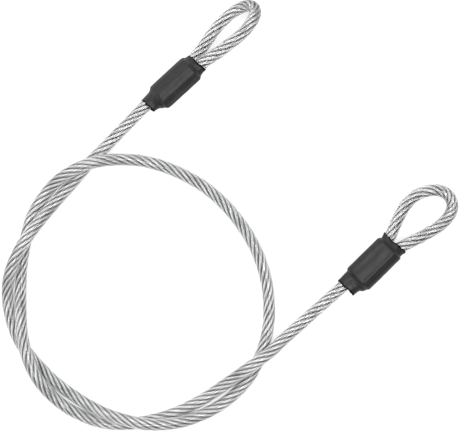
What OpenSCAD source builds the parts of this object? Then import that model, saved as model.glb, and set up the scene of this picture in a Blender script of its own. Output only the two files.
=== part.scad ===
// Looped security cable: one length of coated steel wire rope, lying in a coil
// of a little over one and a half turns, with a pressed eye at each end.
// Millimetres. +Z is up, the cable lies on Z = 0 and both eyes point along +Y.

/* [Cable] */
// Outer diameter of the coated cable
cable_d = 5; // [4.6:0.1:5]
// Diameter of the bare wire rope inside the coat
rope_d = 3.9; // [3.4:0.1:3.9]
// Length along the rope in which an outer strand makes one full turn
lay = 24; // [18:1:36]
// Number of flats round the coat
coat_sides = 8; // [8:4:12]

/* [Ferrules] */
// Length of a pressed ferrule
ferrule_len = 19.4; // [14:0.2:19.4]
// Width of a pressed ferrule across its two bores
ferrule_w = 11.2; // [11.1:0.1:11.2]
// Thickness of a pressed ferrule
ferrule_t = 8.2; // [6.8:0.1:8.2]
// Distance between the centres of the two rope legs in a ferrule
leg_gap = 5.1; // [4.6:0.1:5.1]
// Radial clearance of a rope leg in its bore
bore_clearance = 0.1; // [0.05:0.05:0.15]
// Length of the chamfer at each ferrule mouth
mouth = 1.7; // [1.6:0.1:1.7]

/* [Shrink sleeves] */
// Wall thickness of the shrunk-on sleeve
sleeve_wall = 0.3; // [0.2:0.1:0.3]
// Number of flats round a sleeve
sleeve_sides = 24; // [16:4:32]

/* [Colours] */
// Colour of the steel strands
steel_colour = "lightgray"; // [lightgray, silver, gainsboro]
// Colour of the ferrules
ferrule_colour = "darkgray"; // [darkgray, silver, gray]
// Colour of the shrink sleeves
sleeve_colour = "dimgray"; // [dimgray, black, darkslategray]

/* [Hidden] */

// Centre of the coil in the part's own frame
coil_c = [-6.2, -32];

// Upper end fitting: centre of its tail-side face from the coil's centre, its roll about
// its own length, and its turn on the table about a point turn_y along it
fit_a = [[-50.4, 62, 5.95], -40, -2.3];
// Lower end fitting
fit_b = [[60.35, 67, 4.72], 0, 0];
turn_y = 8;

// Route of the rope from the coil's centre. First eye: from the far end of its ferrule,
// round the loop and back, the high leg first.
eye_a_route = [
    [-48, 85.4, 7.7], [-47.2, 89.6, 8.2], [-46.3, 94, 8.7], [-45.7, 98.4, 9.1],
    [-45.2, 102.6, 9.4], [-45, 106.6, 9.4], [-45.4, 110.2, 9.1], [-46.1, 113, 8.5],
    [-47.4, 115.4, 7.4], [-49.7, 116.7, 5.8], [-52, 115.5, 4.2], [-53.4, 113, 3.2],
    [-54.3, 110.2, 2.7], [-54.8, 106.6, 2.5], [-54.8, 102.6, 2.5], [-54.5, 98.4, 2.6],
    [-53.6, 94, 2.9], [-52.8, 89.6, 3.4], [-52.2, 85.4, 3.9]];

// Straight tail from the first ferrule down to the coil
tail_a_route = [
    [-52.5, 56.5, 4.5], [-52.5, 49, 3.6], [-52.5, 41.5, 2.8], [-52.4, 34, 2.5],
    [-52.4, 28, 2.5]];

// Coil: angle about its centre, radius, height
coil_route = [
    [157, 56.8, 2.5], [165, 53.4, 2.5], [173, 51.5, 2.5], [182, 50.5, 4.1],
    [191, 50.4, 6.6], [201, 51.3, 7.8], [210, 52.6, 7.1], [219, 53.8, 5.2],
    [228, 54.3, 2.6], [237, 54, 2.5], [246, 53.4, 2.5], [254, 52.4, 2.5],
    [262, 51.3, 2.5], [271, 50.8, 2.5], [281, 50.6, 2.5], [291, 51, 3.6],
    [301, 51.8, 5.8], [309, 52.6, 7.2], [316, 53.7, 7.8], [324, 54.8, 7.4],
    [333, 56, 5.9], [342, 56.9, 3.6], [351, 57.6, 2.5], [360, 57.8, 2.5],
    [369, 57.6, 2.5], [376, 56.9, 2.5], [383, 56.2, 2.5], [391, 55.3, 2.5],
    [400, 54.1, 2.5], [411, 52.9, 2.5], [423, 51.8, 2.5], [435, 51, 2.5],
    [447, 50.8, 2.5], [459, 51.2, 2.5], [471, 51.8, 2.5], [483, 53, 2.5],
    [495, 54.6, 3.2], [505, 55.7, 5.4], [511, 56.4, 7.1], [517, 56.9, 7.8],
    [525, 57, 6.9], [533, 56.7, 4], [542, 55.5, 2.5], [551, 53.9, 2.5],
    [561, 51.4, 2.5], [570, 50, 2.5], [579, 49.1, 2.5], [588, 49, 3],
    [597, 49.6, 5.5], [606, 51, 7.2], [614, 52.4, 7.8], [622, 54, 7.1],
    [631, 55.2, 5.3], [641, 56.1, 3], [651, 56.2, 2.5], [661, 55.8, 2.5],
    [669, 54.9, 2.5], [676, 53.8, 2.5], [684, 52.8, 2.5], [693, 52, 2.5],
    [702, 51.6, 2.5], [711, 51.7, 2.5], [720, 52.5, 3.9], [729, 54.4, 7],
    [736, 57, 7.8], [741, 59.6, 7.1]];

// Tail from the coil up to the second ferrule
tail_b_route = [
    [55.8, 27, 5.9], [56.2, 33, 4.9], [56.6, 40, 4.3], [57, 47, 4.2],
    [57.4, 54, 4.4], [57.7, 60.5, 4.6]];

// Second eye, from its ferrule round the loop and back
eye_b_route = [
    [56.8, 90.5, 4.7], [55.2, 94.5, 4.5], [53.8, 98.6, 4], [52.7, 102.6, 3.3],
    [52.4, 106.8, 2.8], [53, 110.5, 2.5], [54.6, 114, 2.5], [57, 116.9, 2.5],
    [60.3, 118.8, 2.5], [63.9, 118.7, 2.5], [66.9, 116.7, 2.5], [68.3, 113.6, 2.5],
    [68.7, 110.4, 2.5], [68.4, 106.8, 2.8], [67.4, 102.6, 3.3], [66.2, 98.6, 4],
    [64.8, 94.5, 4.5], [63.5, 90.5, 4.7]];

// Sleeve outlines: distance along the ferrule from its tail-side face, offset of the
// section's centre towards the second leg, half gap and radius of the rounded section
sleeve_a_outline = [
    [-5, -0.95, 1.25, 3], [-2.4, -0.9, 1.45, 3], [-1.2, -0.4, 1.85, 3.25],
    [0, -0.1, 1.6, 3.8], [0.9, 0, 1.6, 4.4], [1.8, 0, 1.5, 4.6], [17.8, 0, 1.5, 4.6],
    [19, -0.15, 1.6, 4.3], [20, -0.05, 2, 3.5], [21.2, -0.1, 2.65, 3.1],
    [22.2, -0.15, 2.75, 3.1]];
sleeve_b_outline = [
    [-5.2, -1.2, 1.45, 3.05], [-2.2, -1, 1.6, 3.1], [-1.2, -0.5, 1.9, 3.35],
    [0, -0.2, 1.65, 3.8], [0.9, -0.25, 1.6, 4.45], [1.8, -0.15, 1.65, 4.65],
    [17.8, -0.1, 1.6, 4.65], [19, 0, 1.7, 4.45], [20, -0.05, 2.05, 3.5],
    [21, -0.05, 2.6, 3.2], [22.6, -0.15, 3.05, 3.2]];

strand_r = rope_d / 6;
strand_orbit = rope_d / 3;
coat_bore_d = rope_d + 0.3;
step_len = 4.4;

// ---------- points ----------
function at_coil(p) = [p[1] * cos(p[0]), p[1] * sin(p[0]), p[2]];
// A point in an end fitting: x across the legs, y along the ferrule, z out of its plane
function in_end(f, p) = let (
        x = p[0] * cos(f[1]) + p[2] * sin(f[1]), y = p[1] - turn_y,
        z = -p[0] * sin(f[1]) + p[2] * cos(f[1]))
    f[0] + [x * cos(f[2]) - y * sin(f[2]), x * sin(f[2]) + y * cos(f[2]) + turn_y, z];
function placed(list) = [for (p = list) [p[0] + coil_c[0], p[1] + coil_c[1], p[2]]];

function leg(f, side, y) = in_end(f, [side * leg_gap / 2, y, 0]);
function leg_points(f, side, ys) = [for (y = ys) leg(f, side, y)];

eye_a_pts = concat([leg(fit_a, 1, ferrule_len)], eye_a_route,
                   [leg(fit_a, -1, ferrule_len)]);
main_pts = concat([leg(fit_a, -1, 0)], tail_a_route,
                  [for (p = coil_route) at_coil(p)], tail_b_route,
                  [leg(fit_b, -1, 0)]);
eye_b_pts = concat([leg(fit_b, -1, ferrule_len)], eye_b_route,
                   [leg(fit_b, 1, ferrule_len)]);
third = ferrule_len / 3;
rope_pts = concat(
    leg_points(fit_a, 1, [1, third, 2 * third]), eye_a_pts,
    leg_points(fit_a, -1, [2 * third, third]), main_pts,
    leg_points(fit_b, -1, [third, 2 * third]), eye_b_pts,
    leg_points(fit_b, 1, [2 * third, third, 1]));

// ---------- sweeps ----------
function unit(v) = v / norm(v);
function tangents(p) = let (n = len(p)) [for (i = [0:n - 1])
    unit((i < n - 1 ? unit(p[i + 1] - p[i]) : [0, 0, 0])
         + (i > 0 ? unit(p[i] - p[i - 1]) : [0, 0, 0]))];
// A side vector carried along the route without twist
function sides_of(t) = let (u0 = unit(cross(t[0], [0, 0, 1])))
    [for (i = 0, u = u0; i < len(t);
          i = i + 1, u = i < len(t) ? unit(u - (u * t[i]) * t[i]) : u) u];
function run(p) = [for (i = 0, s = 0; i < len(p);
          i = i + 1, s = i < len(p) ? s + norm(p[i] - p[i - 1]) : s) s];

function ring(c, u, v, r, n, turn = 0) =
    [for (j = [0:n - 1]) let (a = 360 * j / n + turn) c + r * cos(a) * u + r * sin(a) * v];
function wall(m, n, o, out) = [for (i = [0:m - 2], j = [0:n - 1])
    let (a = o + i * n + j, b = o + i * n + (j + 1) % n, c = a + n, d = b + n)
    each (out ? [[a, c, d], [a, d, b]] : [[a, d, c], [a, b, d]])];
function lid(n, o, out) = out ? [[for (j = [0:n - 1]) o + j]] : [[for (j = [0:n - 1]) o + n - 1 - j]];
function rim(n, o, q, first) = [for (j = [0:n - 1])
    let (a = o + j, b = o + (j + 1) % n, c = q + (j + 1) % n, d = q + j)
    each (first ? [[a, b, c], [a, c, d]] : [[a, c, b], [a, d, c]])];

// Hollow tube along a route
module hollow_tube(p, r_out, r_in, n) {
    t = tangents(p);
    u = sides_of(t);
    m = len(p);
    outer = [for (i = [0:m - 1]) each ring(p[i], u[i], cross(t[i], u[i]), r_out, n)];
    inner = [for (i = [0:m - 1]) each ring(p[i], u[i], cross(t[i], u[i]), r_in, n)];
    polyhedron(points = concat(outer, inner), convexity = 12, faces = concat(
        wall(m, n, 0, true), wall(m, n, m * n, false),
        rim(n, 0, m * n, true), rim(n, (m - 1) * n, m * n + (m - 1) * n, false)));
}

// Stations of a strand: the rope's own route, cut into short steps
function steps(p, t, u, s) = [for (i = [0:len(p) - 1])
    let (k = i == len(p) - 1 ? 1 : max(1, ceil(norm(p[i + 1] - p[i]) / step_len)))
    each [for (q = [0:k - 1]) let (f = q / k, w = min(i + 1, len(p) - 1),
              tt = unit(t[i] * (1 - f) + t[w] * f), uu = u[i] * (1 - f) + u[w] * f)
          [p[i] * (1 - f) + p[w] * f, unit(uu - (uu * tt) * tt), tt, s[i] * (1 - f) + s[w] * f]]];

// One strand: a small square bar that winds round the rope's axis, right-hand lay
module strand(start, orbit, r) {
    p = placed(rope_pts);
    t = tangents(p);
    st = steps(p, t, sides_of(t), run(p));
    m = len(st);
    pts = [for (q = st) let (a = start + 360 * q[3] / lay, v = cross(q[2], q[1]),
               c = q[0] + orbit * cos(a) * q[1] + orbit * sin(a) * v)
           each ring(c, q[1], v, r, 4, a)];
    polyhedron(points = pts, convexity = 12, faces = concat(
        wall(m, 4, 0, true), lid(4, 0, true), lid(4, (m - 1) * 4, false)));
}

// ---------- the pieces ----------
module core_strand() { color(steel_colour) strand(0, 0, rope_d / 8.2); }
module outer_strand(k) { color(steel_colour) strand(60 * k, strand_orbit, strand_r * 0.92); }
module outer_strand_1() { outer_strand(0); }
module outer_strand_2() { outer_strand(1); }
module outer_strand_3() { outer_strand(2); }
module outer_strand_4() { outer_strand(3); }
module outer_strand_5() { outer_strand(4); }
module outer_strand_6() { outer_strand(5); }

module coat(p) {
    color("gainsboro", 0.45)
        hollow_tube(placed(p), cable_d / 2, coat_bore_d / 2, coat_sides);
}
module coat_main() { coat(main_pts); }
module coat_eye_a() { coat(eye_a_pts); }
module coat_eye_b() { coat(eye_b_pts); }

// Puts a child that runs along +Y from its tail-side face where an end fitting lies
module at_end(f) {
    translate([f[0][0] + coil_c[0], f[0][1] + coil_c[1] + turn_y, f[0][2]])
        rotate([0, 0, f[2]]) translate([0, -turn_y, 0]) rotate([0, f[1], 0]) children();
}

// Pressed oval ferrule with a bore for each leg of the rope
module ferrule() {
    r = ferrule_t / 2;
    g = ferrule_w / 2 - r;
    color(ferrule_colour) rotate([-90, 0, 0]) difference() {
        union() {
            for (s = [-1, 1]) translate([s * g, 0, 0]) {
                translate([0, 0, mouth]) cylinder(r = r, h = ferrule_len - 2 * mouth, $fn = 64);
                cylinder(r1 = r - mouth / 2, r2 = r, h = mouth, $fn = 64);
                translate([0, 0, ferrule_len - mouth])
                    cylinder(r1 = r, r2 = r - mouth / 2, h = mouth, $fn = 64);
            }
            translate([-g, -r, mouth]) cube([2 * g, 2 * r, ferrule_len - 2 * mouth]);
            translate([-g, -r + mouth / 2, 0])
                cube([2 * g, 2 * r - mouth, ferrule_len]);
        }
        for (s = [-1, 1]) translate([s * leg_gap / 2, 0, -1])
            cylinder(r = rope_d / 2 + bore_clearance, h = ferrule_len + 2, $fn = 48);
    }
}
module ferrule_a() { at_end(fit_a) ferrule(); }
module ferrule_b() { at_end(fit_b) ferrule(); }

// A ring of the sleeve: a round-ended section across the ferrule
function sleeve_ring(q, w, n) = [for (j = [0:n - 1])
    let (a = 360 * (j + 0.5) / n, c = cos(a), g = c > 0 ? q[2] : -q[2])
    [q[1] + g + (q[3] - w) * c, q[0], -(q[3] - w) * sin(a)]];

// Shrunk-on sleeve: grips the single cable, swells over the ferrule, ends round both legs
module shrink_sleeve(outline) {
    n = sleeve_sides;
    m = len(outline);
    outer = [for (q = outline) each sleeve_ring(q, 0, n)];
    inner = [for (q = outline) each sleeve_ring(q, sleeve_wall, n)];
    color(sleeve_colour) polyhedron(points = concat(outer, inner), convexity = 6,
        faces = concat(wall(m, n, 0, true), wall(m, n, m * n, false),
            rim(n, 0, m * n, true), rim(n, (m - 1) * n, m * n + (m - 1) * n, false)));
}
module shrink_sleeve_a() { at_end(fit_a) shrink_sleeve(sleeve_a_outline); }
module shrink_sleeve_b() { at_end(fit_b) shrink_sleeve(sleeve_b_outline); }

core_strand();
outer_strand_1();
outer_strand_2();
outer_strand_3();
outer_strand_4();
outer_strand_5();
outer_strand_6();
coat_main();
coat_eye_a();
coat_eye_b();
ferrule_a();
ferrule_b();
shrink_sleeve_a();
shrink_sleeve_b();
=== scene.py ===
import math

import bpy
import numpy as np
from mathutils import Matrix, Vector, noise


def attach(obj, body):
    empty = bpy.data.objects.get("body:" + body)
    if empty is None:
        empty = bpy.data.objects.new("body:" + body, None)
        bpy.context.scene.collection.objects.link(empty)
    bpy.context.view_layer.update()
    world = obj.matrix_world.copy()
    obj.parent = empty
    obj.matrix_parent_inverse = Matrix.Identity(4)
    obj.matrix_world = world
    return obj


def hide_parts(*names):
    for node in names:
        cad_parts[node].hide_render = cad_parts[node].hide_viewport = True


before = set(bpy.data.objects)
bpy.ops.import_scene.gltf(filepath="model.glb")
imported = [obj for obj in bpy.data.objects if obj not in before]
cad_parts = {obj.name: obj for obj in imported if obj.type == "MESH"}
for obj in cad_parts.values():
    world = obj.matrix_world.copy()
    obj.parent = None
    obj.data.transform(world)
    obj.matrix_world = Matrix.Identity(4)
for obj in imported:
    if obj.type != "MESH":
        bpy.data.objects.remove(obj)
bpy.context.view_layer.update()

MM = 0.001

# ------------------------------------------------------------------ the route

COIL_C = np.array([-6.2, -32.0, 0.0])  # the coil's middle in the row frame; the route is given from there
CABLE_R = 2.5
ROPE_R = 1.95
LAY = 24.0
ORBIT = 1.3  # of each outer strand round the rope's middle
WIRE_R = 0.228
WIRE_ORBIT = 0.395
WIRE_LAY = 8.4
FERRULE_L = 19.4
HALF_LEGS = 2.55
# each fitting: the middle of its tail face, its roll about its own length, and its turn on the table about TURN_Y
END_A = (np.array([-50.4, 62.0, 5.95]), math.radians(-40.0), math.radians(-2.3))
END_B = (np.array([60.35, 67.0, 4.72]), 0.0, 0.0)
TURN_Y = 8.0

EYE_A = [
    [-48, 85.4, 7.7], [-47.2, 89.6, 8.2], [-46.3, 94, 8.7], [-45.7, 98.4, 9.1], [-45.2, 102.6, 9.4],
    [-45, 106.6, 9.4], [-45.4, 110.2, 9.1], [-46.1, 113, 8.5], [-47.4, 115.4, 7.4], [-49.7, 116.7, 5.8],
    [-52, 115.5, 4.2], [-53.4, 113, 3.2], [-54.3, 110.2, 2.7], [-54.8, 106.6, 2.5], [-54.8, 102.6, 2.5],
    [-54.5, 98.4, 2.6], [-53.6, 94, 2.9], [-52.8, 89.6, 3.4], [-52.2, 85.4, 3.9],
]
TAIL_A = [[-52.5, 56.5, 4.5], [-52.5, 49, 3.6], [-52.5, 41.5, 2.8], [-52.4, 34, 2.5], [-52.4, 28, 2.5]]
COIL = [  # angle in degrees, radius, height
    [157, 56.8, 2.5], [165, 53.4, 2.5], [173, 51.5, 2.5], [182, 50.5, 4.1], [191, 50.4, 6.6], [201, 51.3, 7.8],
    [210, 52.6, 7.1], [219, 53.8, 5.2], [228, 54.3, 2.6], [237, 54, 2.5], [246, 53.4, 2.5], [254, 52.4, 2.5],
    [262, 51.3, 2.5], [271, 50.8, 2.5], [281, 50.6, 2.5], [291, 51, 3.6], [301, 51.8, 5.8], [309, 52.6, 7.2],
    [316, 53.7, 7.8], [324, 54.8, 7.4], [333, 56, 5.9], [342, 56.9, 3.6], [351, 57.6, 2.5], [360, 57.8, 2.5],
    [369, 57.6, 2.5], [376, 56.9, 2.5], [383, 56.2, 2.5], [391, 55.3, 2.5], [400, 54.1, 2.5], [411, 52.9, 2.5],
    [423, 51.8, 2.5], [435, 51, 2.5], [447, 50.8, 2.5], [459, 51.2, 2.5], [471, 51.8, 2.5], [483, 53, 2.5],
    [495, 54.6, 3.2], [505, 55.7, 5.4], [511, 56.4, 7.1], [517, 56.9, 7.8], [525, 57, 6.9], [533, 56.7, 4],
    [542, 55.5, 2.5], [551, 53.9, 2.5], [561, 51.4, 2.5], [570, 50, 2.5], [579, 49.1, 2.5], [588, 49, 3],
    [597, 49.6, 5.5], [606, 51, 7.2], [614, 52.4, 7.8], [622, 54, 7.1], [631, 55.2, 5.3], [641, 56.1, 3],
    [651, 56.2, 2.5], [661, 55.8, 2.5], [669, 54.9, 2.5], [676, 53.8, 2.5], [684, 52.8, 2.5], [693, 52, 2.5],
    [702, 51.6, 2.5], [711, 51.7, 2.5], [720, 52.5, 3.9], [729, 54.4, 7], [736, 57, 7.8], [741, 59.6, 7.1],
]
TAIL_B = [[55.8, 27, 5.9], [56.2, 33, 4.9], [56.6, 40, 4.3], [57, 47, 4.2], [57.4, 54, 4.4], [57.7, 60.5, 4.6]]
EYE_B = [
    [56.8, 90.5, 4.7], [55.2, 94.5, 4.5], [53.8, 98.6, 4], [52.7, 102.6, 3.3], [52.4, 106.8, 2.8], [53, 110.5, 2.5],
    [54.6, 114, 2.5], [57, 116.9, 2.5], [60.3, 118.8, 2.5], [63.9, 118.7, 2.5], [66.9, 116.7, 2.5], [68.3, 113.6, 2.5],
    [68.7, 110.4, 2.5], [68.4, 106.8, 2.8], [67.4, 102.6, 3.3], [66.2, 98.6, 4], [64.8, 94.5, 4.5], [63.5, 90.5, 4.7],
]


def in_end(end, p):
    """A point of a fitting: x across the two legs, y from the tail face towards the eye, z out of the fitting."""
    at, roll, turn = end
    c, s = math.cos(roll), math.sin(roll)
    x, y, z = p[0] * c + p[2] * s, p[1] - TURN_Y, -p[0] * s + p[2] * c
    c, s = math.cos(turn), math.sin(turn)
    return at + np.array([x * c - y * s, x * s + y * c + TURN_Y, z])


def leg(end, side, y):
    return in_end(end, (side * HALF_LEGS, y, 0.0))


def route():
    """The whole rope's control points, and where the coats start and end on it."""
    marks, pts = {}, []

    def add(name, points):
        marks[name] = (len(pts), len(pts) + len(points) - 1)
        pts.extend(np.array(p, float) for p in points)

    add("dead_a", [leg(END_A, 1, y) for y in (1, 5, 10, 15)])
    add("eye_a", [leg(END_A, 1, FERRULE_L), *EYE_A, leg(END_A, -1, FERRULE_L)])
    add("in_a", [leg(END_A, -1, y) for y in (15, 10, 5)])
    coil = [[r * math.cos(math.radians(a)), r * math.sin(math.radians(a)), z] for a, r, z in COIL]
    add("main", [leg(END_A, -1, 0), *TAIL_A, *coil, *TAIL_B, leg(END_B, -1, 0)])
    add("in_b", [leg(END_B, -1, y) for y in (5, 10, 15)])
    add("eye_b", [leg(END_B, -1, FERRULE_L), *EYE_B, leg(END_B, 1, FERRULE_L)])
    add("dead_b", [leg(END_B, 1, y) for y in (15, 10, 5, 1)])
    return np.array(pts) + COIL_C, marks


def smooth_line(p):
    """A natural cubic spline through the points, as (dense points, chord length at each, chord length of each control point)."""
    t = np.r_[0, np.cumsum(np.linalg.norm(np.diff(p, axis=0), axis=1))]
    h, n = np.diff(t), len(t)
    a, b = np.zeros((n, n)), np.zeros((n, 3))
    a[0, 0] = a[-1, -1] = 1
    for i in range(1, n - 1):
        a[i, i - 1], a[i, i], a[i, i + 1] = h[i - 1], 2 * (h[i - 1] + h[i]), h[i]
        b[i] = 6 * ((p[i + 1] - p[i]) / h[i] - (p[i] - p[i - 1]) / h[i - 1])
    m = np.linalg.solve(a, b)
    out, at = [], []
    for i in range(n - 1):
        s = np.linspace(0, 1, max(4, int(h[i] / 0.1)), endpoint=False)[:, None] * h[i]
        c1 = (p[i + 1] - p[i]) / h[i] - h[i] * (2 * m[i] + m[i + 1]) / 6
        out.append(p[i] + c1 * s + m[i] / 2 * s**2 + (m[i + 1] - m[i]) / (6 * h[i]) * s**3)
        at.append(t[i] + s[:, 0])
    out.append(p[-1:])
    at.append(t[-1:])
    q = np.vstack(out)
    q[:, 2] = np.maximum(q[:, 2], CABLE_R)
    return q, np.concatenate(at), t


def evenly(q, start, end, step):
    """Points along q between two arc lengths, about step apart, and their arc lengths."""
    s = np.r_[0, np.cumsum(np.linalg.norm(np.diff(q, axis=0), axis=1))]
    at = np.linspace(start, end, max(3, int(round((end - start) / step)) + 1))
    return np.stack([np.interp(at, s, q[:, k]) for k in range(3)], 1), at


def frames(p):
    """Tangents, and two side vectors that turn as little as possible along p."""
    t = np.gradient(p, axis=0)
    t /= np.linalg.norm(t, axis=1)[:, None]
    u = np.zeros_like(p)
    first = np.cross(t[0], [0, 0, 1.0])
    u[0] = first / np.linalg.norm(first)
    for i in range(len(p) - 1):
        v1 = p[i + 1] - p[i]
        c1 = v1 @ v1
        ul = u[i] - 2 / c1 * (v1 @ u[i]) * v1
        tl = t[i] - 2 / c1 * (v1 @ t[i]) * v1
        v2 = t[i + 1] - tl
        c2 = v2 @ v2
        r = ul if c2 < 1e-14 else ul - 2 / c2 * (v2 @ ul) * v2
        r = r - (r @ t[i + 1]) * t[i + 1]
        u[i + 1] = r / np.linalg.norm(r)
    return t, u, np.cross(t, u)


CONTROL, MARKS = route()
DENSE, DENSE_CHORD, CONTROL_CHORD = smooth_line(CONTROL)
DENSE_ARC = np.r_[0, np.cumsum(np.linalg.norm(np.diff(DENSE, axis=0), axis=1))]
ROPE_LENGTH = DENSE_ARC[-1]


def arc_of(i):
    """Arc length on the rope of a control point."""
    return float(np.interp(CONTROL_CHORD[i], DENSE_CHORD, DENSE_ARC))


TIP_A = arc_of(MARKS["eye_a"][0] + 10)
TIP_B = arc_of(MARKS["eye_b"][0] + 9) + 5.0

# ------------------------------------------------------------------ mesh helpers


def new_mesh(name, verts, quads, smooth=True):
    """A mesh from points in millimetres and quads, or from a list of polygons."""
    mesh = bpy.data.meshes.new(name)
    verts = np.asarray(verts, np.float32) * MM
    if isinstance(quads, np.ndarray):
        mesh.vertices.add(len(verts))
        mesh.vertices.foreach_set("co", verts.ravel())
        mesh.loops.add(len(quads) * 4)
        mesh.loops.foreach_set("vertex_index", quads.astype(np.int32).ravel())
        mesh.polygons.add(len(quads))
        mesh.polygons.foreach_set("loop_start", np.arange(0, len(quads) * 4, 4, dtype=np.int32))
        mesh.update(calc_edges=True)
    else:
        mesh.from_pydata([tuple(map(float, v)) for v in verts], [], quads)
        mesh.update()
    mesh.polygons.foreach_set("use_smooth", [smooth] * len(mesh.polygons))
    obj = bpy.data.objects.new(name, mesh)
    bpy.context.scene.collection.objects.link(obj)
    return obj


def ring_quads(rings, sides, base=0):
    i = np.arange(rings - 1)[:, None] * sides
    j = np.arange(sides)[None, :]
    k = (j + 1) % sides
    return (np.stack([i + j, i + k, i + sides + k, i + sides + j], -1).reshape(-1, 4)) + base


def tube_points(p, e1, e2, radius, sides, turn=0.0):
    a = np.linspace(0, 2 * math.pi, sides, endpoint=False) + turn
    r = np.broadcast_to(np.asarray(radius, float).reshape(-1, 1, 1), (len(p), 1, 1))
    ring = np.cos(a)[None, :, None] * e1[:, None, :] + np.sin(a)[None, :, None] * e2[:, None, :]
    return (p[:, None, :] + r * ring).reshape(-1, 3)


def across(t, near):
    """near made square to t, and the third direction."""
    e1 = near - (near * t).sum(1)[:, None] * t
    e1 /= np.linalg.norm(e1, axis=1)[:, None]
    return e1, np.cross(t, e1)


def crowded(s):
    """Extra turn of the strands: a rope bent this tightly crowds its lay over the tip of an eye and gives it back down the legs."""
    extra = np.zeros_like(s)
    for tip, most, wide in ((TIP_A, 0.22, 8.0), (TIP_B, 0.17, 11.0)):
        x = (s - tip) / wide
        extra += most * wide * x * np.exp(-x * x / 2)
    return extra


def strand(name, k, step, sides):
    """One strand of seven wires. k is 0 to 5 for an outer one, or None for the core."""
    p, s = evenly(DENSE, 0, ROPE_LENGTH, step)
    t, u, v = frames(p)
    if k is None:
        centre, out = p, u
        sign, lay = 1.0, 11.0
    else:
        a = math.radians(60 * k) + 2 * math.pi * s / LAY + crowded(s)
        out = np.cos(a)[:, None] * u + np.sin(a)[:, None] * v
        centre = p + ORBIT * out
        sign, lay = -1.0, WIRE_LAY
    ts = np.gradient(centre, axis=0)
    ts /= np.linalg.norm(ts, axis=1)[:, None]
    e1, e2 = across(ts, out)
    verts, quads, base = [], [], 0
    depth, tone = [], []
    shade = np.random.default_rng(70 if k is None else k)
    lines = [(centre, e1, e2, WIRE_R)]
    for j in range(6):
        b = math.radians(60 * j) + sign * 2 * math.pi * s / lay
        off = np.cos(b)[:, None] * e1 + np.sin(b)[:, None] * e2
        line = centre + WIRE_ORBIT * off
        tw = np.gradient(line, axis=0)
        tw /= np.linalg.norm(tw, axis=1)[:, None]
        f1, f2 = across(tw, off)
        lines.append((line, f1, f2, WIRE_R))
    caps = []
    for line, f1, f2, r in lines:
        n = len(line)
        skin = tube_points(line, f1, f2, r, sides)
        verts.append(skin)
        depth.append(np.linalg.norm(skin - np.repeat(p, sides, axis=0), axis=1))
        tone.append(np.full(len(skin), shade.random()))
        quads.append(ring_quads(n, sides, base))
        half = sides // 2
        for first, flip in ((base, True), (base + (n - 1) * sides, False)):
            ring = [first + i for i in range(sides)]
            fan = [[ring[0], ring[i], ring[i + 1], ring[i + 2]] for i in range(1, sides - 2, 2)]
            caps.extend([q[::-1] for q in fan] if flip else fan)
        base += n * sides
    quads.append(np.array(caps))
    obj = new_mesh(name, np.vstack(verts), np.vstack(quads))
    # how far each point is from the rope's middle, 0 in the valleys and 1 on the crowns, the mask of the steel's
    # painted shade; and each wire's own random tone
    for key, value in (("crown", np.clip((np.concatenate(depth) - 1.2) / 0.72, 0, 1)), ("wire_tone", np.concatenate(tone))):
        obj.data.attributes.new(key, "FLOAT", "POINT").data.foreach_set("value", value.astype(np.float32))
    return obj


def coat(name, start, end, step=1.0, sides=32):
    """The clear coat as one closed solid."""
    p, s = evenly(DENSE, start, end, step)
    t, u, v = frames(p)
    # faint unevenness of an extruded coat, a few hundredths of a millimetre
    a = np.linspace(0, 2 * math.pi, sides, endpoint=False)
    r = CABLE_R - 0.012 * (1 + np.sin(s[:, None] * 0.61 + a[None, :]) * np.sin(s[:, None] * 0.173 + 1.3))
    ring = np.cos(a)[None, :, None] * u[:, None, :] + np.sin(a)[None, :, None] * v[:, None, :]
    body = p[:, None, :] + r[:, :, None] * ring
    verts = body.reshape(-1, 3)
    quads = ring_quads(len(p), sides)
    polys = [list(q) for q in quads.tolist()]
    polys.append(list(range(sides))[::-1])
    last = (len(p) - 1) * sides
    polys.append([last + j for j in range(sides)])
    obj = new_mesh(name, verts, polys)
    return obj, p


# ------------------------------------------------------------------ materials


def material(name):
    m = bpy.data.materials.new(name)
    m.use_nodes = True
    nt = m.node_tree
    bsdf = next(n for n in nt.nodes if n.type == "BSDF_PRINCIPLED") if nt.nodes else nt.nodes.new("ShaderNodeBsdfPrincipled")
    return m, nt, bsdf


def add(nt, kind, **values):
    n = nt.nodes.new(kind)
    for key, value in values.items():
        if key in n.inputs:
            n.inputs[key].default_value = value
        else:
            setattr(n, key, value)
    return n


def ramp(nt, fac, stops):
    n = nt.nodes.new("ShaderNodeValToRGB")
    els = n.color_ramp.elements
    while len(els) < len(stops):
        els.new(0.5)
    for e, (pos, col) in zip(els, stops):
        e.position = pos
        e.color = (*col, 1) if len(col) == 3 else col
    nt.links.new(fac, n.inputs["Fac"])
    return n


def to_range(nt, value, low, high, from_low=0.0, from_high=1.0):
    n = nt.nodes.new("ShaderNodeMapRange")
    n.inputs["From Min"].default_value = from_low
    n.inputs["From Max"].default_value = from_high
    n.inputs["To Min"].default_value = low
    n.inputs["To Max"].default_value = high
    nt.links.new(value, n.inputs["Value"])
    return n


VALLEY_PAINTED_SHADE = (0.45, 0.67, 0.87, 0.95)  # painted shade: the steel's colour from the dark valleys between the strands to the lighter crowns


def in_of(mix, name):
    """A Mix node's colour input; it has one of each name for each kind of value."""
    return next(i for i in mix.inputs if i.name == name and i.type == "RGBA")


def out_of(mix, kind):
    return next(o for o in mix.outputs if o.type == kind)


def grey(x):
    return (x, x, x)


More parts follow.
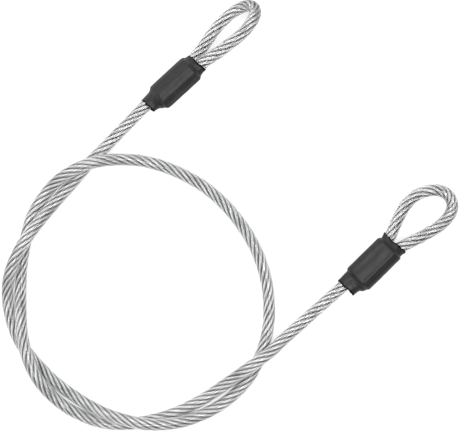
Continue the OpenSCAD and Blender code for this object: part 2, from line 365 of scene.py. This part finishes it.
def steel(name, seed):
    m, nt, b = material(name)
    co = add(nt, "ShaderNodeTexCoord")
    b.inputs["Metallic"].default_value = 1.0
    crown = add(nt, "ShaderNodeAttribute", attribute_name="crown")
    wire = add(nt, "ShaderNodeAttribute", attribute_name="wire_tone")
    # painted shade: the valleys between the strands are painted dark, as the shade that falls between them, and the
    # crowns lighter
    valley_painted_shade = ramp(nt, crown.outputs["Fac"], [(0.15, grey(VALLEY_PAINTED_SHADE[0])), (0.5, grey(VALLEY_PAINTED_SHADE[1])), (0.72, grey(VALLEY_PAINTED_SHADE[2])), (0.95, grey(VALLEY_PAINTED_SHADE[3]))])
    tone = add(nt, "ShaderNodeTexNoise", noise_dimensions="4D")
    tone.inputs["W"].default_value = seed
    tone.inputs["Scale"].default_value = 900
    tone.inputs["Detail"].default_value = 3
    nt.links.new(co.outputs["Object"], tone.inputs["Vector"])
    patch = ramp(nt, tone.outputs["Fac"], [(0.30, (0.80, 0.805, 0.815)), (0.55, (0.95, 0.95, 0.95)), (0.75, (1.0, 1.0, 1.0))])
    first = add(nt, "ShaderNodeMix", data_type="RGBA", blend_type="MULTIPLY")
    first.inputs["Factor"].default_value = 1.0
    nt.links.new(valley_painted_shade.outputs["Color"], in_of(first, "A"))
    nt.links.new(patch.outputs["Color"], in_of(first, "B"))
    each = ramp(nt, wire.outputs["Fac"], [(0.0, grey(0.72)), (0.5, grey(0.92)), (1.0, grey(1.0))])
    second = add(nt, "ShaderNodeMix", data_type="RGBA", blend_type="MULTIPLY")
    second.inputs["Factor"].default_value = 1.0
    nt.links.new(out_of(first, "RGBA"), in_of(second, "A"))
    nt.links.new(each.outputs["Color"], in_of(second, "B"))
    nt.links.new(out_of(second, "RGBA"), b.inputs["Base Color"])
    rough = add(nt, "ShaderNodeTexNoise", noise_dimensions="4D")
    rough.inputs["W"].default_value = seed + 3.7
    rough.inputs["Scale"].default_value = 2200
    rough.inputs["Detail"].default_value = 2
    nt.links.new(co.outputs["Object"], rough.inputs["Vector"])
    nt.links.new(to_range(nt, rough.outputs["Fac"], 0.28, 0.44, 0.3, 0.7).outputs["Result"], b.inputs["Roughness"])
    return m


def clear_vinyl(name, clear=0.985):
    m, nt, b = material(name)
    b.inputs["Base Color"].default_value = (clear, clear + 0.004, clear + 0.005, 1)
    b.inputs["Roughness"].default_value = 0.06
    b.inputs["IOR"].default_value = 1.5
    b.inputs["Transmission Weight"].default_value = 1.0
    co = add(nt, "ShaderNodeTexCoord")
    n = add(nt, "ShaderNodeTexNoise")
    n.inputs["Scale"].default_value = 420
    n.inputs["Detail"].default_value = 2
    nt.links.new(co.outputs["Object"], n.inputs["Vector"])
    bump = add(nt, "ShaderNodeBump")
    bump.inputs["Strength"].default_value = 0.06
    bump.inputs["Distance"].default_value = 0.0001
    nt.links.new(n.outputs["Fac"], bump.inputs["Height"])
    nt.links.new(bump.outputs["Normal"], b.inputs["Normal"])
    return m


def shrink_black(name, seed, shine=0.28):
    m, nt, b = material(name)
    co = add(nt, "ShaderNodeTexCoord")
    tone = add(nt, "ShaderNodeTexNoise", noise_dimensions="4D")
    tone.inputs["W"].default_value = seed
    tone.inputs["Scale"].default_value = 260
    tone.inputs["Detail"].default_value = 5
    nt.links.new(co.outputs["Object"], tone.inputs["Vector"])
    colour = ramp(nt, tone.outputs["Fac"], [(0.3, grey(0.012)), (0.6, grey(0.018)), (0.8, grey(0.028))])
    # painted shade: the cut ends and the tube's inside are painted near black, the shade that falls on the cut faces
    # and inside the tube
    cut = add(nt, "ShaderNodeAttribute", attribute_name="cut")
    cut_painted_shade = add(nt, "ShaderNodeMix", data_type="RGBA", blend_type="MIX")
    nt.links.new(cut.outputs["Fac"], cut_painted_shade.inputs["Factor"])
    nt.links.new(colour.outputs["Color"], in_of(cut_painted_shade, "A"))
    in_of(cut_painted_shade, "B").default_value = (0.002, 0.002, 0.002, 1)
    nt.links.new(out_of(cut_painted_shade, "RGBA"), b.inputs["Base Color"])
    b.inputs["Specular IOR Level"].default_value = shine
    rough = add(nt, "ShaderNodeTexNoise", noise_dimensions="4D")
    rough.inputs["W"].default_value = seed + 9
    rough.inputs["Scale"].default_value = 600
    rough.inputs["Detail"].default_value = 4
    nt.links.new(co.outputs["Object"], rough.inputs["Vector"])
    satin = to_range(nt, rough.outputs["Fac"], 0.3, 0.42, 0.3, 0.7)
    # rougher where it is cut, and on the steep sides, to hold down the pale floor's reflection at the outline
    up = add(nt, "ShaderNodeAttribute", attribute_name="up")
    side = to_range(nt, up.outputs["Fac"], 0.5, 0.0)
    dull = add(nt, "ShaderNodeMath", operation="MULTIPLY_ADD")
    nt.links.new(cut.outputs["Fac"], dull.inputs[0])
    dull.inputs[1].default_value = 0.3
    nt.links.new(side.outputs["Result"], dull.inputs[2])
    rougher = add(nt, "ShaderNodeMath", operation="ADD")
    nt.links.new(dull.outputs["Value"], rougher.inputs[0])
    nt.links.new(satin.outputs["Result"], rougher.inputs[1])
    nt.links.new(rougher.outputs["Value"], b.inputs["Roughness"])
    # drawn lengthwise, so the grain runs along the sleeve
    drawn = add(nt, "ShaderNodeMapping")
    drawn.inputs["Scale"].default_value = (1.0, 0.12, 1.0)
    nt.links.new(co.outputs["Object"], drawn.inputs["Vector"])
    peel = add(nt, "ShaderNodeTexNoise")
    peel.inputs["Scale"].default_value = 1400
    peel.inputs["Detail"].default_value = 3
    nt.links.new(drawn.outputs["Vector"], peel.inputs["Vector"])
    bump = add(nt, "ShaderNodeBump")
    bump.inputs["Strength"].default_value = 0.25
    bump.inputs["Distance"].default_value = 0.00004
    nt.links.new(peel.outputs["Fac"], bump.inputs["Height"])
    nt.links.new(bump.outputs["Normal"], b.inputs["Normal"])
    return m


def aluminium(name):
    m, nt, b = material(name)
    b.inputs["Metallic"].default_value = 1.0
    co = add(nt, "ShaderNodeTexCoord")
    n = add(nt, "ShaderNodeTexNoise")
    n.inputs["Scale"].default_value = 700
    n.inputs["Detail"].default_value = 4
    nt.links.new(co.outputs["Object"], n.inputs["Vector"])
    colour = ramp(nt, n.outputs["Fac"], [(0.3, grey(0.62)), (0.7, grey(0.78))])
    nt.links.new(colour.outputs["Color"], b.inputs["Base Color"])
    nt.links.new(to_range(nt, n.outputs["Fac"], 0.3, 0.5, 0.3, 0.7).outputs["Result"], b.inputs["Roughness"])
    bump = add(nt, "ShaderNodeBump")
    bump.inputs["Strength"].default_value = 0.2
    bump.inputs["Distance"].default_value = 0.00005
    nt.links.new(n.outputs["Fac"], bump.inputs["Height"])
    nt.links.new(bump.outputs["Normal"], b.inputs["Normal"])
    return m


# ------------------------------------------------------------------ camera

VIEW_W = 459 * 0.4125 * MM
LENS = 135.0
cam = bpy.data.objects.new("camera", bpy.data.cameras.new("camera"))
bpy.context.scene.collection.objects.link(cam)
cam.data.lens = LENS
cam.data.sensor_width = 36.0
cam.data.clip_start, cam.data.clip_end = 0.01, 20.0
cam.location = (-0.0020, 0.0169, 0.005 + VIEW_W * LENS / 36.0)
cam.rotation_euler = (0, 0, math.radians(45))
bpy.context.scene.camera = cam

# ------------------------------------------------------------------ cords: the coats and the strands in them

spans = {
    "coat_main": (arc_of(MARKS["main"][0]), arc_of(MARKS["main"][1])),
    "coat_eye_a": (arc_of(MARKS["eye_a"][0]), arc_of(MARKS["eye_a"][1])),
    "coat_eye_b": (arc_of(MARKS["eye_b"][0]), arc_of(MARKS["eye_b"][1])),
}
vinyl = clear_vinyl("clear_vinyl")
shaded_eye_vinyl = clear_vinyl("shaded_eye_vinyl", 0.945)  # a greyer copy of the clear vinyl for the eyes: painted shade that darkens them
coats = {}
for name, (start, end) in spans.items():
    o, line = coat(name + "_vinyl", start, end)
    o.data.materials.append(vinyl if name == "coat_main" else shaded_eye_vinyl)
    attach(o, "root")
    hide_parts(name)
    coats[name] = (o, line)

strands = []
for k in range(6):
    o = strand(f"outer_strand_{k + 1}_wires", k, 0.8, 6)
    o.data.materials.append(steel(f"bright_steel_{k + 1}", k * 1.7))
    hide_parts(f"outer_strand_{k + 1}")
    strands.append(o)
o = strand("core_strand_wires", None, 1.6, 6)
o.data.materials.append(steel("bright_steel_core", 20.0))
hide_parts("core_strand")
strands.append(o)
for o in strands:
    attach(o, "root")

for name, (o, line) in coats.items():
    length = float(np.linalg.norm(np.diff(line, axis=0), axis=1).sum()) * MM
    print("CORD", name, round(length, 4))

# ------------------------------------------------------------------ the shrink sleeves

# y from the tail face, left and right edge across the legs, half height, roundness (2 is an ellipse, less is pinched to
# a crease at each side, more is boxy)
SLEEVE_A = [
    [-5.0, -5.15, 3.15, 3.0, 1.7], [-4.2, -5.15, 3.05, 3.05, 1.85], [-3.2, -5.15, 3.05, 3.1, 1.95], [-2.2, -5.2, 3.4, 3.15, 2.0],
    [-1.5, -5.25, 4.0, 3.3, 2.1], [-0.9, -5.3, 4.6, 3.45, 2.15], [0.0, -5.4, 5.2, 3.85, 2.3], [0.5, -5.7, 6.0, 4.15, 2.4],
    [1.0, -6.08, 6.05, 4.4, 2.5], [1.8, -6.12, 6.08, 4.54, 2.6], [5, -6.12, 6.1, 4.58, 2.6], [10, -6.1, 6.12, 4.58, 2.6],
    [16, -6.1, 6.12, 4.58, 2.6], [18.2, -6.1, 6.1, 4.52, 2.6], [19, -6.1, 5.75, 4.3, 2.5], [19.5, -5.95, 5.4, 3.95, 2.35],
    [20, -5.65, 5.38, 3.6, 2.25], [20.6, -5.55, 5.38, 3.4, 2.2], [21.2, -5.6, 5.42, 3.3, 2.1], [22.0, -5.8, 5.75, 3.25, 1.9],
]
SLEEVE_B = [
    [-5.2, -5.85, 3.25, 3.05, 1.7], [-4.5, -5.66, 3.25, 3.1, 2.0], [-3.5, -5.65, 3.33, 3.15, 2.25], [-2.5, -5.66, 3.5, 3.15, 2.35],
    [-2, -5.66, 3.75, 3.2, 2.3], [-1.5, -5.64, 4.3, 3.3, 2.2], [-1, -5.62, 4.85, 3.45, 2.2], [-0.5, -5.6, 5.1, 3.6, 2.2],
    [0, -5.63, 5.25, 3.8, 2.3], [0.4, -5.8, 5.4, 4.1, 2.35], [0.8, -6.22, 5.72, 4.4, 2.45], [1.2, -6.45, 5.98, 4.55, 2.6],
    [2, -6.52, 6.12, 4.62, 2.7], [5, -6.46, 6.15, 4.64, 2.7], [10, -6.42, 6.17, 4.64, 2.7], [16, -6.36, 6.2, 4.64, 2.7],
    [18.5, -6.3, 6.23, 4.58, 2.6], [19.1, -6.1, 6.2, 4.35, 2.5], [19.5, -5.8, 5.92, 4.0, 2.35], [20, -5.45, 5.52, 3.6, 2.25],
    [20.5, -5.6, 5.58, 3.4, 2.15], [21, -5.85, 5.65, 3.3, 2.05], [21.7, -6.1, 5.8, 3.25, 1.85], [22.4, -6.4, 6.1, 3.2, 1.65],
]
# y, angle from the second leg's side in degrees, height, and how long and how wide in degrees each drawn-down lump is
LUMPS_A = [(-2.6, 95, 0.22, 0.6, 22), (20.6, 80, 0.2, 0.5, 25), (20.8, 120, 0.18, 0.4, 16)]
LUMPS_B = [(-2.5, 72, 0.22, 0.55, 20), (-1.4, 110, 0.15, 0.4, 18), (20.7, 100, 0.16, 0.5, 22), (21.2, 55, 0.2, 0.6, 18)]


# angle in degrees, height, how wide in degrees, and from where to where each lengthwise ridge runs
RIDGES_A = [(70, 0.2, 6, 0.8, 18.6), (46, 0.1, 7, 1.0, 18.4), (96, -0.1, 5, 1.2, 18.4), (125, 0.08, 5, 1.2, 17.0)]
RIDGES_B = [
    (73, 0.2, 6, 0.9, 22.6), (116, 0.13, 6, 0.9, 7.0), (130, 0.08, 5, 1.2, 18.4),
    (66, 0.16, 12, -6.0, -1.2),
]


def slopes(x, y):
    """Slopes that keep a cubic between points from overshooting."""
    d = np.diff(y, axis=0) / np.diff(x)[:, None]
    m = np.zeros_like(y)
    m[0], m[-1] = d[0], d[-1]
    for i in range(1, len(x) - 1):
        same = d[i - 1] * d[i] > 0
        m[i] = np.where(same, 2 * d[i - 1] * d[i] / np.where(same, d[i - 1] + d[i], 1), 0)
    return m


def along(table, ys):
    t = np.array(table, float)
    x, y = t[:, 0], t[:, 1:]
    m = slopes(x, y)
    i = np.clip(np.searchsorted(x, ys) - 1, 0, len(x) - 2)
    h = (x[i + 1] - x[i])[:, None]
    w = (ys[:, None] - x[i][:, None]) / h
    return (
        (1 + 2 * w) * (1 - w) ** 2 * y[i] + w * (1 - w) ** 2 * h * m[i]
        + w**2 * (3 - 2 * w) * y[i + 1] + w**2 * (w - 1) * h * m[i + 1]
    )


def sleeve(name, end, table, lumps, ridges, skew, seed, wall=0.3, step=0.25, sides=112):
    first, last = table[0][0], table[-1][0]
    rings = int((last - first) / step) + 1
    ys = np.linspace(first, last, rings)
    shape = along(table, ys)
    a = np.linspace(0, 2 * math.pi, sides, endpoint=False)
    ca, sa = np.cos(a), np.sin(a)

    def surface(inset):
        out = np.zeros((rings, sides, 3))
        for i, y in enumerate(ys):
            left, right, h, n = shape[i]
            # the cut end's outer edge rolls in a little
            lip = 0.0 if inset else 0.14 * max(0.0, 1 - min(y - first, last - y) / 0.4) ** 2
            off, w, h = (left + right) / 2, (right - left) / 2 - inset - lip, h - inset - lip
            x = off + w * np.sign(ca) * np.abs(ca) ** (2 / n)
            z = h * np.sign(sa) * np.abs(sa) ** (2 / n)
            # the cut ends run out to a point at each crease
            tail = max(0.0, 1 - (y - first) / 3.0) ** 2
            eye = max(0.0, 1 - (last - y) / 3.0) ** 2
            crease = np.abs(ca) ** 6
            wave = 0.16 * np.sin(3 * a + seed) + 0.1 * np.sin(7 * a + 2 * seed)
            yy = y + tail * (wave + skew[0] * ca - 0.12 * crease) + eye * (wave + skew[1] * ca + 0.15 * crease)
            out[i] = np.stack([x, yy, z], 1)
        return out

    outer, inner = surface(0.0), surface(wall)
    # lumps where the tube has drawn down over the ferrule's shoulders, and finer unevenness elsewhere
    for i, y in enumerate(ys):
        shoulder = math.exp(-((y + 0.4) / 1.4) ** 2) + math.exp(-((y - 19.6) / 1.4) ** 2)
        for j in range(sides):
            p = outer[i, j]
            lump = noise.noise(Vector((p[0] * 0.35 + seed, p[1] * 0.3, p[2] * 0.35)))
            fine = noise.noise(Vector((p[0] * 1.1, p[1] * 0.45 + seed, p[2] * 1.1)))
            grow = (0.05 + 0.16 * shoulder) * lump + (0.02 + 0.05 * shoulder) * fine
            for ly, la, high, long, wide in lumps:
                turn = (math.degrees(a[j]) - la + 180) % 360 - 180
                grow += high * math.exp(-((y - ly) / long) ** 2 - (turn / wide) ** 2)
            for la, high, wide, y0, y1 in ridges:
                turn = (math.degrees(a[j]) - la + 180) % 360 - 180
                part = min(max(y - y0, 0.0), max(y1 - y, 0.0), 1.2) / 1.2
                grow += high * math.exp(-((turn / wide) ** 2)) * part * part * (3 - 2 * part)
            d = np.array([ca[j], 0, sa[j]])
            outer[i, j] = p + d * grow
            inner[i, j] = inner[i, j] + d * grow
    near_cut = np.minimum(ys - first, last - ys)[:, None] * np.ones(sides)
    flat = lambda s: np.array([in_end(end, q) for q in s.reshape(-1, 3)])
    verts = np.vstack([flat(outer), flat(inner)]) + COIL_C
    n = rings * sides
    quads = [ring_quads(rings, sides), ring_quads(rings, sides, n)[:, ::-1]]
    j = np.arange(sides)
    k = (j + 1) % sides
    quads.append(np.stack([j, n + j, n + k, k], 1))
    b = (rings - 1) * sides
    quads.append(np.stack([b + j, b + k, n + b + k, n + b + j], 1))
    obj = new_mesh(name, verts, np.vstack(quads))
    # 1 at the cut ends and inside, and 0 on the body, the mask where the sleeve is painted near black as shade; and 0
    # on the steep sides, and 1 on top
    cut = np.concatenate([np.clip(1.6 - near_cut / 0.5, 0, 1).ravel(), np.ones(n)])
    across_ring = np.roll(flat(outer).reshape(rings, sides, 3), -1, 1) - np.roll(flat(outer).reshape(rings, sides, 3), 1, 1)
    level = np.abs(across_ring[:, :, 0]) / np.maximum(np.linalg.norm(across_ring[:, :, [0, 2]], axis=2), 1e-6)
    up = np.concatenate([np.clip((level - 0.15) / 0.5, 0, 1).ravel(), np.ones(n)])
    for key, value in (("cut", cut), ("up", up)):
        obj.data.attributes.new(key, "FLOAT", "POINT").data.foreach_set("value", value.astype(np.float32))
    return obj


for label, end, table, lumps, ridges, skew, seed in (
    ("a", END_A, SLEEVE_A, LUMPS_A, RIDGES_A, (0.5, 0.45), 1.9),
    ("b", END_B, SLEEVE_B, LUMPS_B, RIDGES_B, (0.1, 0.3), 5.3),
):
    o = sleeve(f"shrink_sleeve_{label}_skin", end, table, lumps, ridges, skew, seed)
    o.data.materials.append(shrink_black(f"shrink_black_{label}", seed))
    # the cut ends are matt; their near-black colour is painted shade, from the cut mask
    o.data.materials.append(shrink_black(f"shrink_cut_{label}", seed, 0.04))
    raw = np.zeros(len(o.data.vertices), np.float32)
    o.data.attributes["cut"].data.foreach_get("value", raw)
    for f in o.data.polygons:
        f.material_index = int(min(raw[v] for v in f.vertices) > 0.55)
    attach(o, "root")
    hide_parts(f"shrink_sleeve_{label}")

alu = aluminium("pressed_aluminium")
for label in "ab":
    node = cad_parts[f"ferrule_{label}"]
    node.data.materials.clear()
    node.data.materials.append(alu)

# ------------------------------------------------------------------ floor and light


def floor():
    bpy.ops.mesh.primitive_plane_add(size=6.0, location=(0, 0, 0))
    o = bpy.context.object
    o.name = "floor"
    m, nt, b = material("pale_floor")
    b.inputs["Roughness"].default_value = 0.9
    b.inputs["Specular IOR Level"].default_value = 0.1
    co = add(nt, "ShaderNodeTexCoord")
    n = add(nt, "ShaderNodeTexNoise")
    n.inputs["Scale"].default_value = 3.0
    nt.links.new(co.outputs["Object"], n.inputs["Vector"])
    c = ramp(nt, n.outputs["Fac"], [(0.3, grey(0.34)), (0.7, grey(0.36))])
    nt.links.new(c.outputs["Color"], b.inputs["Base Color"])
    # a white light table: lit from below as well, so that nothing on it throws a hard shadow
    b.inputs["Emission Color"].default_value = (1, 1, 1, 1)
    b.inputs["Emission Strength"].default_value = 0.75
    o.data.materials.append(m)


floor()


def softbox(name, place, target, size, watts, size_y=None):
    d = bpy.data.lights.new(name, "AREA")
    d.energy = watts
    d.shape = "RECTANGLE"
    d.size = size
    d.size_y = size_y or size
    o = bpy.data.objects.new(name, d)
    bpy.context.scene.collection.objects.link(o)
    o.location = place
    o.rotation_euler = (Vector(target) - Vector(place)).to_track_quat("-Z", "Y").to_euler()
    o.visible_camera = False
    return o


def image_dir(right, up, z):
    """A place from how far right and up it is in the photograph's frame."""
    c = math.sqrt(0.5)
    return (right * c - up * c, right * c + up * c, z)


softbox("key", image_dir(-0.46, 0.46, 1.12), (0, 0, 0), 1.7, 11.5, 0.75)
softbox("top", image_dir(0.24, -0.24, 1.28), (0, 0, 0), 1.5, 10.0, 0.3)
softbox("rim", image_dir(-0.9, 0.9, 0.4), (0, 0, 0), 1.4, 3.0, 0.2)

world = bpy.data.worlds.new("studio")
bpy.context.scene.world = world
world.use_nodes = True
bg = next(n for n in world.node_tree.nodes if n.type == "BACKGROUND")
bg.inputs["Color"].default_value = (1, 1, 1, 1)
bg.inputs["Strength"].default_value = 0.5

bpy.context.scene.view_settings.view_transform = "Standard"
